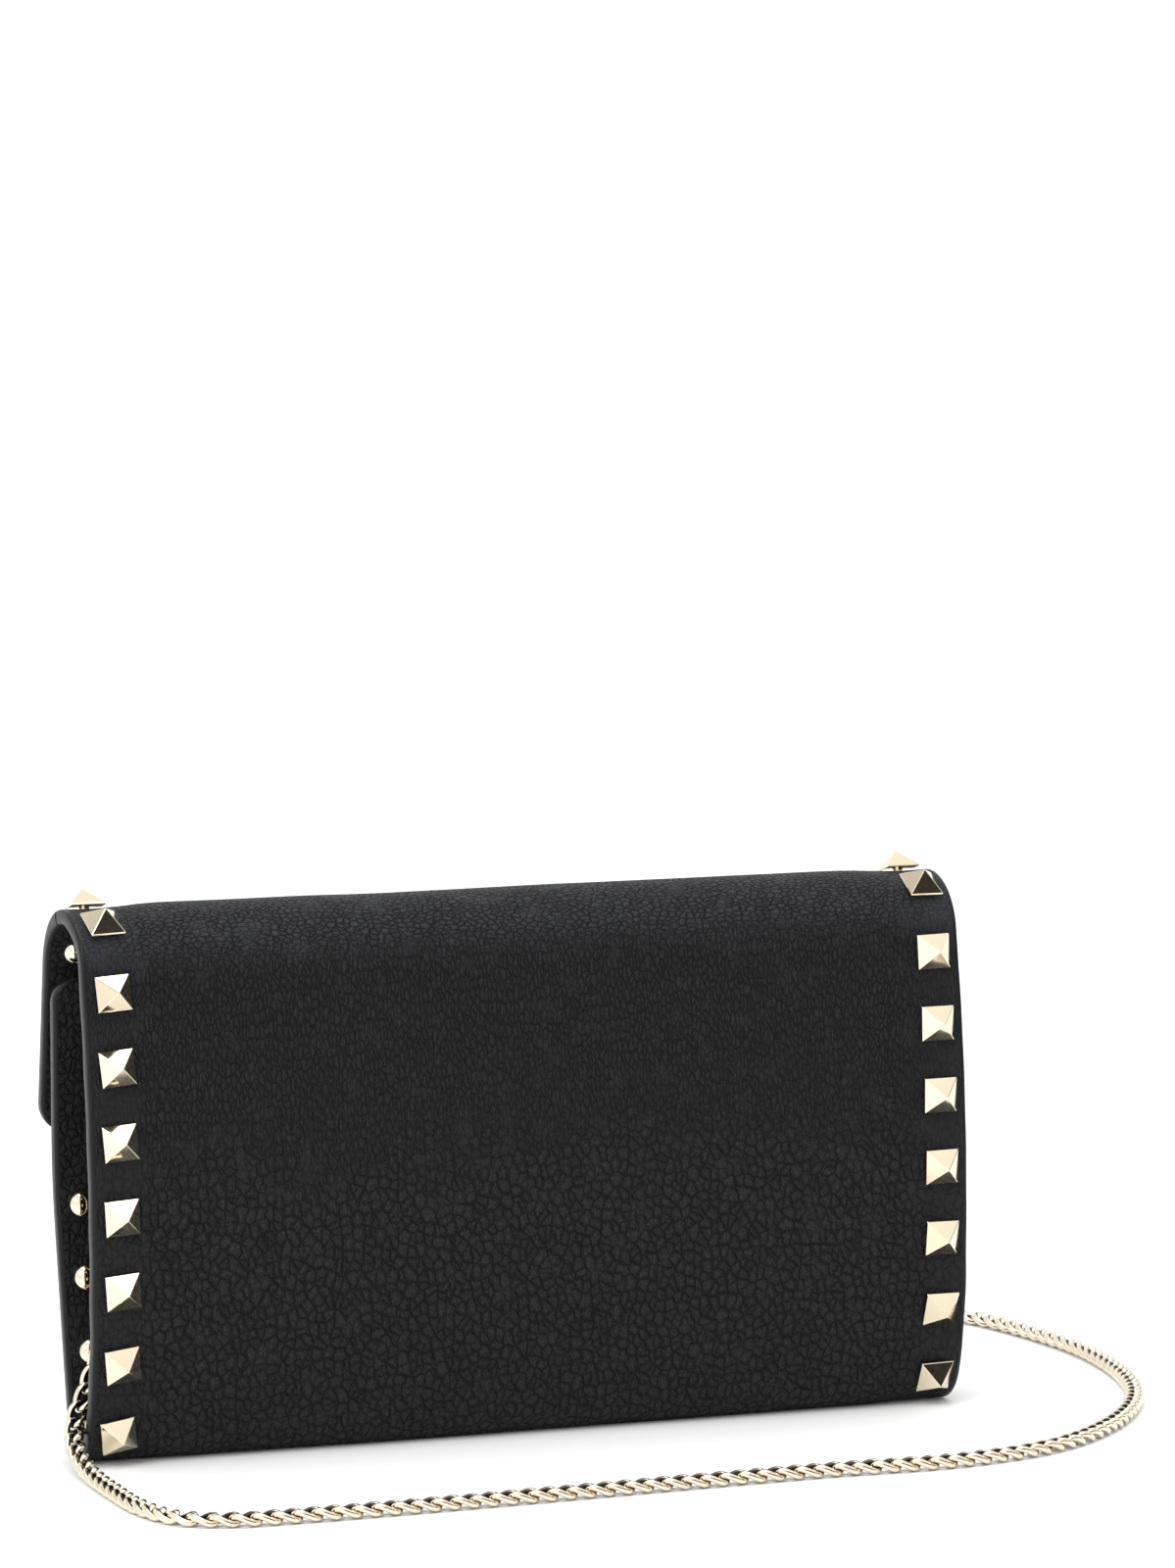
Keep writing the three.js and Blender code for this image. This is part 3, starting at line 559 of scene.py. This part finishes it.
def add_chain():
    line = centripetal_curve(CHAIN_ROUTE, 12)
    centres, length = spaced(line, LINK_PITCH, LINK_PITCH / 2)
    tangents = np.gradient(centres, axis=0)
    tangents /= np.linalg.norm(tangents, axis=1, keepdims=True)
    flats = [None] * len(centres)
    middle = len(centres) // 2
    flats[middle] = Vector((0, 0, 1))
    for step, ends in ((1, range(middle + 1, len(centres))), (-1, range(middle - 1, -1, -1))):
        for i in ends:
            carried = flats[i - step]
            t = Vector(tangents[i])
            flats[i] = (carried - carried.dot(t) * t).normalized()
    template, link_faces, inner = link_template()
    vertices, faces = [], []
    for i, (centre, tangent, flat) in enumerate(zip(centres, tangents, flats)):
        side = np.cross(flat, tangent)
        rocked = noise.noise(Vector((i * 0.9, 2.0, 4.0))) * LINK_ROCK
        up = np.array(flat) * math.cos(rocked) + side * math.sin(rocked)
        side = np.cross(up, tangent)
        frame_of_link = np.stack([tangent, side, up])
        first = len(vertices)
        vertices.extend(template @ frame_of_link + centre)
        faces.extend(tuple(first + k for k in face) for face in link_faces)
    vertices = np.array(vertices)
    vertices[:, 2] = np.maximum(vertices[:, 2], ABOVE_GROUND)
    chain = new_piece("curb_chain", vertices, faces, "wallet", [CHAIN_GOLD])
    # How far each point of a link faces its inside, where the chain's material paints shade.
    attribute = chain.data.attributes.new("inner", "FLOAT", "POINT")
    attribute.data.foreach_set("value", inner * len(centres))
    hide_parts("chain")


# ---------------------------------------------------------------- inside
def row_grid(outline, x_half, columns):
    """A grid from an outline of (y, z) points, run across the width."""
    xs = np.linspace(-x_half, x_half, columns)
    return np.array([[(x, y, z) for x in xs] for y, z in outline])


def add_gussets():
    line = [(GUSSET_EDGE_X, 0.6), (79, 0.7), (76.6, 1.5), (73.4, 5), (GUSSET_FOLD_X + 0.7, 8.8),
            (GUSSET_FOLD_X, 10)]
    line += [(x, 20 - y) for x, y in line[-2::-1]]
    section = centripetal_curve([(x, y, 0) for x, y in line], 4)
    heights = np.linspace(GUSSET_BOTTOM, GUSSET_TOP, 30)
    grid = np.zeros((len(heights), len(section), 3))
    for r, z in enumerate(heights):
        front, back = lining_at(FRONT_LINE, z), lining_at(BACK_LINE, z)
        for c, p in enumerate(section):
            sway = noise.noise(Vector((z * 0.05, p.y * 0.1, 1.0))) * 0.35
            grid[r, c] = (p.x + sway, front + p.y / 20 * (back - front), z)
    for side, sign in (("right", 1), ("left", -1)):
        sided = grid * np.array([sign, 1, 1])
        if sign < 0:
            sided = sided[:, ::-1]
        add_lining_sheet(f"gusset_leather_{side}", sided, 200, GUSSET_LEATHER, f"gusset_{side}", rim=0.3)


def pocket_point(y, z):
    """A point of the coin pocket, drawn upright, in its tilted place."""
    tilt = math.radians(POCKET_TILT)
    return (POCKET_BASE[0] + y * math.cos(tilt) - z * math.sin(tilt),
            POCKET_BASE[1] + y * math.sin(tilt) + z * math.cos(tilt))


def add_pocket():
    levels = np.linspace(SHEET_RIM, POCKET_HEIGHT - SHEET_RIM, 24)
    face_y = -(POCKET_ROOM / 2 + POCKET_WALL)
    grid = row_grid([pocket_point(face_y, z) for z in levels], POCKET_WIDTH / 2 - SHEET_RIM, 40)
    add_lining_sheet("pocket_leather_front", grid, 300, POCKET_WALL, "pocket_front_wall")
    dress(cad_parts["pocket_back_wall"], TRAY_LEATHER, 0.2)
    for node in ("zip_tape_front", "zip_tape_back"):
        dress(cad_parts[node], TAPE, 0.1)


def add_card_panels():
    for name, inset in (("tall", GAP), ("short", 2 * GAP + CARD_LEATHER)):
        heights = np.linspace(CARD_BOTTOM + SHEET_RIM, CARD_TOPS[name] - SHEET_RIM, 20)
        outline = [(lining_at(BACK_LINE, z) - inset - CARD_LEATHER, z) for z in heights]
        grid = row_grid(outline, CARD_WIDTH / 2 - SHEET_RIM, 40)
        add_lining_sheet(f"card_leather_{name}", grid, 400, CARD_LEATHER, f"card_panel_{name}")


def dress(node, material, bevel):
    """Gives a CAD node a material and soft edges."""
    node.data.materials.clear()
    node.data.materials.append(material)
    modifier = node.modifiers.new("soft_edges", "BEVEL")
    modifier.width = bevel * MM
    modifier.segments = 3
    modifier.limit_method = "ANGLE"
    modifier.angle_limit = math.radians(35)
    node.data.set_sharp_from_angle(angle=math.radians(35))


def add_tabs():
    """A strap round each D-ring's bar, with its two ends sewn together above."""
    y0, z0 = TAB_PLACE
    path = [(3.3, 9.6), (3.3, 6), (3.2, 2.6), (2.7, 0.4), (1.8, -1.6), (0, -2.5), (-1.8, -1.7),
            (-2.5, 0), (-1.7, 1.8), (0.2, 2.6), (1.1, 4.4), (1.2, 7), (1.2, 9.6)]
    curve = centripetal_curve([(y, z, 0) for y, z in path], 4)
    for side, x0 in (("right", HARDWARE_X), ("left", -HARDWARE_X)):
        xs = np.linspace(x0 - 2.5, x0 + 2.5, 7)
        grid = np.array([[(x, y0 + p.x, z0 + p.y) for x in xs] for p in curve])
        add_lining_sheet(f"tab_strap_{side}", grid, 500, TAB_LEATHER, f"chain_tab_{side}", rim=0.2)


def dress_hardware():
    for side in ("right", "left"):
        for node in (f"d_ring_{side}", f"clasp_{side}", f"clasp_gate_{side}", f"end_ring_{side}"):
            dress(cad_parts[node], GOLD, 0.35)
    for node in ("zip_slider", "zip_puller"):
        dress(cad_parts[node], GOLD, 0.25)
    for node in ("zip_teeth_front", "zip_teeth_back"):
        dress(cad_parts[node], GOLD, 0.15)
    for node in ("snap_male", "snap_female"):
        dress(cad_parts[node], SATIN_GOLD, 0.25)


# ---------------------------------------------------------------- materials
class Nodes:
    """A small helper that adds shader nodes and links by name."""

    def __init__(self, material):
        self.tree = material.node_tree
        self.shader = self.tree.nodes["Principled BSDF"]

    def add(self, kind, settings=None, **inputs):
        node = self.tree.nodes.new(kind)
        for key, value in (settings or {}).items():
            setattr(node, key, value)
        for key, value in inputs.items():
            self.set(node, key.replace("_", " "), value)
        return node

    def set(self, node, key, value):
        socket = node.inputs[int(key)] if key.isdigit() else node.inputs[key]
        if isinstance(value, bpy.types.NodeSocket):
            self.tree.links.new(value, socket)
        else:
            socket.default_value = value

    def math(self, operation, a, b=0.0, clamp=False):
        node = self.tree.nodes.new("ShaderNodeMath")
        node.operation = operation
        node.use_clamp = clamp
        self.set(node, "0", a)
        self.set(node, "1", b)
        return node.outputs[0]

    def mix(self, share, a, b):
        """a where share is 0 and b where it is 1, for plain numbers."""
        node = self.tree.nodes.new("ShaderNodeMix")
        self.set(node, "0", share)
        self.set(node, "2", a)
        self.set(node, "3", b)
        return node.outputs[0]

    def ramp(self, value, stops):
        node = self.tree.nodes.new("ShaderNodeValToRGB")
        elements = node.color_ramp.elements
        while len(elements) < len(stops):
            elements.new(0.5)
        for element, (place, color) in zip(elements, stops):
            element.position = place
            element.color = color if len(color) == 4 else (*color, 1)
        self.set(node, "0", value)
        return node.outputs[0]

    def smooth_step(self, value, low, high):
        node = self.tree.nodes.new("ShaderNodeMapRange")
        node.interpolation_type = "SMOOTHSTEP"
        self.set(node, "0", value)
        self.set(node, "1", low)
        self.set(node, "2", high)
        return node.outputs[0]


def new_material(name, color, roughness, metallic=0.0):
    material = bpy.data.materials.new(name)
    material.use_nodes = True
    nodes = Nodes(material)
    nodes.shader.inputs["Base Color"].default_value = (*color, 1)
    nodes.shader.inputs["Roughness"].default_value = roughness
    nodes.shader.inputs["Metallic"].default_value = metallic
    return material, nodes


def creases(nodes, vector, cell, stretch, offset=0.0):
    """A network of fine creases round pebbles: 0 in a crease and 1 on a pebble."""
    scaled = nodes.add("ShaderNodeVectorMath", {"operation": "MULTIPLY_ADD"})
    nodes.set(scaled, "0", vector)
    nodes.set(scaled, "1", (1 / cell, 1 / (cell * stretch), 1 / cell))
    nodes.set(scaled, "2", (offset, offset, 0))
    warp = nodes.add("ShaderNodeTexNoise", Scale=0.7, Detail=3.0, Roughness=0.6)
    nodes.set(warp, "Vector", scaled.outputs[0])
    bent = nodes.add("ShaderNodeVectorMath", {"operation": "MULTIPLY_ADD"})
    nodes.set(bent, "0", warp.outputs["Color"])
    nodes.set(bent, "1", (1.25, 1.25, 1.25))
    nodes.set(bent, "2", scaled.outputs[0])
    edges = nodes.add("ShaderNodeTexVoronoi",
                      {"feature": "DISTANCE_TO_EDGE", "voronoi_dimensions": "2D"}, Scale=1.0)
    nodes.set(edges, "Vector", bent.outputs[0])
    crease = nodes.smooth_step(edges.outputs["Distance"], 0.0, 0.12)
    dome = nodes.smooth_step(edges.outputs["Distance"], -0.1, 0.5)
    return nodes.math("ADD", nodes.math("MULTIPLY", crease, 0.5), nodes.math("MULTIPLY", dome, 0.6))


def pebbled(nodes, grain, cell, stretch):
    """Large pebbles whose creases come and go, with smaller ones between them."""
    large = creases(nodes, grain, cell, stretch)
    small = creases(nodes, grain, cell * 0.46, stretch * 1.1, 31.0)
    depth = nodes.add("ShaderNodeTexNoise", Scale=0.21, Detail=2.0)
    nodes.set(depth, "Vector", grain)
    shown = nodes.smooth_step(depth.outputs["Fac"], 0.28, 0.5)
    large = nodes.mix(shown, nodes.math("ADD", nodes.math("MULTIPLY", large, 0.45), 0.55), large)
    return nodes.math("ADD", nodes.math("MULTIPLY", large, 0.74), nodes.math("MULTIPLY", small, 0.26))


def grain_leather(name, color, roughness, cell, depth, outer, solid=False):
    """Leather with pebbled grain. On the outer face the grain runs long below the top fold, turns into a
    fine crackle on the fold, and is stretched nearly flat in the studded margins."""
    material, nodes = new_material(name, color, roughness)
    if solid:
        place = nodes.add("ShaderNodeTexCoord").outputs["Object"]
        upright = nodes.add("ShaderNodeMapping")
        nodes.set(upright, "Vector", place)
        upright.inputs["Rotation"].default_value = (-math.pi / 2, 0, 0)
        upright.inputs["Scale"].default_value = (1000, 1000, 1000)
        grain = upright.outputs[0]
    else:
        grain = nodes.add("ShaderNodeAttribute", {"attribute_name": "grain"}).outputs["Vector"]
    parts = nodes.add("ShaderNodeSeparateXYZ", Vector=grain)
    across, along = parts.outputs["X"], parts.outputs["Y"]
    patch = nodes.add("ShaderNodeTexNoise", Scale=0.07, Detail=4.0)
    nodes.set(patch, "Vector", grain)
    height = pebbled(nodes, grain, cell, 1.2)
    if outer:
        wander = nodes.math("MULTIPLY", patch.outputs["Fac"], 60.0)
        upper = nodes.smooth_step(nodes.math("ADD", along, wander), 82.0, 116.0)
        height = nodes.mix(upper, height, pebbled(nodes, grain, cell * 0.47, 2.5))
        on_fold = nodes.math("MULTIPLY", nodes.smooth_step(along, 101.0, 112.0),
                             nodes.smooth_step(along, 158.0, 144.0))
        height = nodes.mix(on_fold, height, pebbled(nodes, grain, cell * 0.8, 0.62))
        edge_noise = nodes.add("ShaderNodeTexNoise", Scale=0.16, Detail=3.0)
        nodes.set(edge_noise, "Vector", grain)
        place = nodes.math("ADD", nodes.math("ABSOLUTE", across),
                           nodes.math("MULTIPLY", edge_noise.outputs["Fac"], 12.0))
        margin = nodes.smooth_step(place, 84.5, 95.0)
        streaks = nodes.add("ShaderNodeVectorMath", {"operation": "MULTIPLY"})
        nodes.set(streaks, "0", grain)
        nodes.set(streaks, "1", (1.5, 0.3, 1.0))
        stretched = nodes.add("ShaderNodeTexNoise", Scale=1.0, Detail=4.0, Roughness=0.6)
        nodes.set(stretched, "Vector", streaks.outputs[0])
        smooth_skin = nodes.math("ADD", nodes.math("MULTIPLY", stretched.outputs["Fac"], 0.6), 0.5)
        kept_grain = nodes.mix(0.32, smooth_skin, height)
        height = nodes.mix(margin, height, kept_grain)
    fine = nodes.add("ShaderNodeTexNoise", Scale=3.6, Detail=4.0, Roughness=0.65)
    nodes.set(fine, "Vector", grain)
    total_height = nodes.math("ADD", nodes.math("MULTIPLY", fine.outputs["Fac"], 0.14), height)
    bump = nodes.add("ShaderNodeBump", Strength=1.0, Distance=depth * MM)
    nodes.set(bump, "Height", total_height)
    nodes.set(nodes.shader, "Normal", bump.outputs[0])
    # The colour follows the grain's height: near black in the creases and lighter on the pebble tops, which
    # is painted shade and painted highlight, over the leather's own patchy tone.
    tone = nodes.math("MULTIPLY", height,
                      nodes.math("ADD", nodes.math("MULTIPLY", patch.outputs["Fac"], 0.3), 0.85))
    shade = nodes.ramp(tone, [(0.3, tuple(c * 0.03 for c in color)), (0.66, tuple(c * 0.45 for c in color)),
                              (1.0, tuple(c * 1.2 for c in color))])
    if outer:
        # On the fold the colour is lightened: painted highlight and sheen from the light above, with some
        # wear.
        fold_sheen_and_wear = nodes.add("ShaderNodeMix", {"data_type": "RGBA", "blend_type": "MULTIPLY"})
        nodes.set(fold_sheen_and_wear, "0", on_fold)
        nodes.set(fold_sheen_and_wear, "6", shade)
        nodes.set(fold_sheen_and_wear, "7", (2.5, 2.6, 2.8, 1))
        shade = fold_sheen_and_wear.outputs[2]
    nodes.set(nodes.shader, "Base Color", shade)
    rough_total = nodes.math("SUBTRACT", roughness + 0.34, nodes.math("MULTIPLY", height, 0.34))
    nodes.set(nodes.shader, "Roughness", rough_total)
    nodes.shader.inputs["Specular IOR Level"].default_value = 0.2
    return material


def painted_edge():
    """Black edge paint with slow waves in it."""
    material, nodes = new_material("painted_edge", (0.007, 0.007, 0.008), 0.34)
    nodes.shader.inputs["Specular IOR Level"].default_value = 0.22
    grain = nodes.add("ShaderNodeAttribute", {"attribute_name": "grain"}).outputs["Vector"]
    waves = nodes.add("ShaderNodeTexNoise", Scale=0.5, Detail=3.0)
    nodes.set(waves, "Vector", grain)
    bump = nodes.add("ShaderNodeBump", Strength=0.5, Distance=0.12 * MM)
    nodes.set(bump, "Height", waves.outputs["Fac"])
    nodes.set(nodes.shader, "Normal", bump.outputs[0])
    rough = nodes.math("ADD", nodes.math("MULTIPLY", waves.outputs["Fac"], 0.16), 0.26)
    nodes.set(nodes.shader, "Roughness", rough)
    return material


def gold(name, color, roughness, brushed=0.0, painted_gap_shade=False):
    """Polished pale gold plating, with faint handling marks in its gloss. With painted_gap_shade, the inner
    sides of the links are darkened: painted shade for the gaps between the links."""
    material, nodes = new_material(name, color, roughness, 1.0)
    place = nodes.add("ShaderNodeTexCoord").outputs["Object"]
    marks = nodes.add("ShaderNodeTexNoise", Scale=900.0, Detail=3.0)
    nodes.set(marks, "Vector", place)
    rough = nodes.math("ADD", nodes.math("MULTIPLY", marks.outputs["Fac"], 0.07 + brushed), roughness)
    nodes.set(nodes.shader, "Roughness", rough)
    tone = nodes.add("ShaderNodeTexNoise", Scale=120.0, Detail=1.0)
    nodes.set(tone, "Vector", place)
    dull = tuple(c * 0.93 for c in color)
    shade = nodes.ramp(tone.outputs["Fac"], [(0.3, dull), (0.7, color)])
    # Painted shade: the inner sides of the links are darkened to give the dark gaps between links.
    if painted_gap_shade:
        inner = nodes.add("ShaderNodeAttribute", {"attribute_name": "inner"}).outputs["Fac"]
        dark = nodes.add("ShaderNodeMix", {"data_type": "RGBA"})
        nodes.set(dark, "0", nodes.smooth_step(inner, 0.45, 0.8))
        nodes.set(dark, "6", shade)
        nodes.set(dark, "7", (0.03, 0.024, 0.016, 1))
        shade = dark.outputs[2]
    nodes.set(nodes.shader, "Base Color", shade)
    return material


def woven_tape():
    """The black cloth of the zip's tapes."""
    material, nodes = new_material("woven_tape", (0.012, 0.012, 0.013), 0.85)
    place = nodes.add("ShaderNodeTexCoord").outputs["Object"]
    threads = nodes.add("ShaderNodeTexWave", {"bands_direction": "X"}, Scale=700.0, Distortion=0.6)
    nodes.set(threads, "Vector", place)
    rows = nodes.add("ShaderNodeTexWave", {"bands_direction": "Z"}, Scale=900.0, Distortion=0.6)
    nodes.set(rows, "Vector", place)
    height = nodes.math("MAXIMUM", threads.outputs["Fac"], rows.outputs["Fac"])
    bump = nodes.add("ShaderNodeBump", Strength=0.8, Distance=0.1 * MM)
    nodes.set(bump, "Height", height)
    nodes.set(nodes.shader, "Normal", bump.outputs[0])
    # The cloth is darker low between the threads: painted shade in the weave.
    shade = nodes.ramp(height, [(0.0, (0.005, 0.005, 0.006)), (1.0, (0.022, 0.022, 0.024))])
    nodes.set(nodes.shader, "Base Color", shade)
    nodes.shader.inputs["Sheen Weight"].default_value = 0.2
    return material


OUTER = grain_leather("pebbled_leather", (0.0115, 0.0117, 0.013), 0.42, 2.0, 1.0, True)
LINING = grain_leather("lining_leather", (0.0135, 0.0135, 0.0145), 0.5, 1.7, 0.3, False)
TRAY_LEATHER = grain_leather("tray_leather", (0.0135, 0.0135, 0.0145), 0.5, 1.7, 0.3, False, solid=True)
PAINTED_EDGE = painted_edge()
GOLD = gold("polished_gold", (0.9, 0.79, 0.58), 0.06)
CHAIN_GOLD = gold("chain_gold", (0.86, 0.76, 0.6), 0.1, painted_gap_shade=True)
SATIN_GOLD = gold("satin_gold", (0.84, 0.74, 0.54), 0.22, 0.1)
TAPE = woven_tape()


# ---------------------------------------------------------------- studio
WORLD_STRENGTH = 1.12
FLOOR_REACH = 12.0
CARD_AIM = (0, 0, 0.06)
LAMP_AIM = (0, 0, 0.05)

# Dark parts of the room, which the metal and the leather mirror: (name, place, size). Their places are
# assumed, and set for the tones that they give.
DARK_CARDS = [
    ("room_dark", (-1.0, 2.3, 0.52), (3.4, 1.35)),
    ("gap_right", (1.05, 0.75, 1.6), (0.5, 0.5)),
    ("gap_left", (-2.2, 0.5, 0.5), (0.7, 1.0)),
    ("gap_over", (1.05, -0.85, 1.7), (0.8, 0.8)),
]
CARD_SHADES = {"gap_over": 0.5}


def add_light(name, place, size, power):
    data = bpy.data.lights.new(name, "AREA")
    data.shape = "RECTANGLE"
    data.size = size
    data.size_y = size
    data.energy = power
    light = bpy.data.objects.new(name, data)
    light.location = place
    light.rotation_mode = "QUATERNION"
    light.rotation_quaternion = (Vector(LAMP_AIM) - Vector(place)).to_track_quat("-Z", "Y")
    bpy.context.scene.collection.objects.link(light)


def add_rectangle(name, across, up):
    """A flat rectangle round the origin, from half its width and half its height in metres."""
    mesh = bpy.data.meshes.new(name)
    mesh.from_pydata([(-across, -up, 0), (across, -up, 0), (across, up, 0), (-across, up, 0)], [],
                     [(0, 1, 2, 3)])
    rectangle = bpy.data.objects.new(name, mesh)
    bpy.context.scene.collection.objects.link(rectangle)
    return rectangle


def add_dark_card(name, place, size):
    """A dark card that only reflections see."""
    card = add_rectangle(name, size[0] / 2, size[1] / 2)
    card.location = place
    card.rotation_mode = "QUATERNION"
    card.rotation_quaternion = (Vector(CARD_AIM) - Vector(place)).to_track_quat("Z", "Y")
    felt, _ = new_material(name, (CARD_SHADES.get(name, 0.012),) * 3, 1.0)
    card.data.materials.append(felt)
    card.visible_camera = False
    card.visible_diffuse = False
    card.visible_shadow = False


def add_studio():
    floor = add_rectangle("studio_floor", FLOOR_REACH, FLOOR_REACH)
    paper, nodes = new_material("floor_paper", (0.93, 0.93, 0.93), 0.6)
    tooth = nodes.add("ShaderNodeTexNoise", Scale=60.0, Detail=2.0)
    shade = nodes.ramp(tooth.outputs["Fac"], [(0.0, (0.92,) * 3), (1.0, (0.94,) * 3)])
    nodes.set(nodes.shader, "Base Color", shade)
    floor.data.materials.append(paper)

    world = bpy.data.worlds.new("studio")
    world.use_nodes = True
    background = world.node_tree.nodes["Background"]
    background.inputs["Color"].default_value = (1, 1, 1, 1)
    background.inputs["Strength"].default_value = WORLD_STRENGTH
    bpy.context.scene.world = world
    scene = bpy.context.scene
    scene.view_settings.view_transform = "Standard"
    scene.view_settings.look = "None"

    for name, place, size in DARK_CARDS:
        add_dark_card(name, place, size)
    add_light("key", (1.6, 1.2, 1.8), 1.2, 22)
    add_light("top", (0.0, 0.1, 2.2), 1.6, 18)


add_camera()
add_chain()
add_shell()
add_studs()
add_gussets()
add_pocket()
add_card_panels()
add_tabs()
dress_hardware()
add_studio()
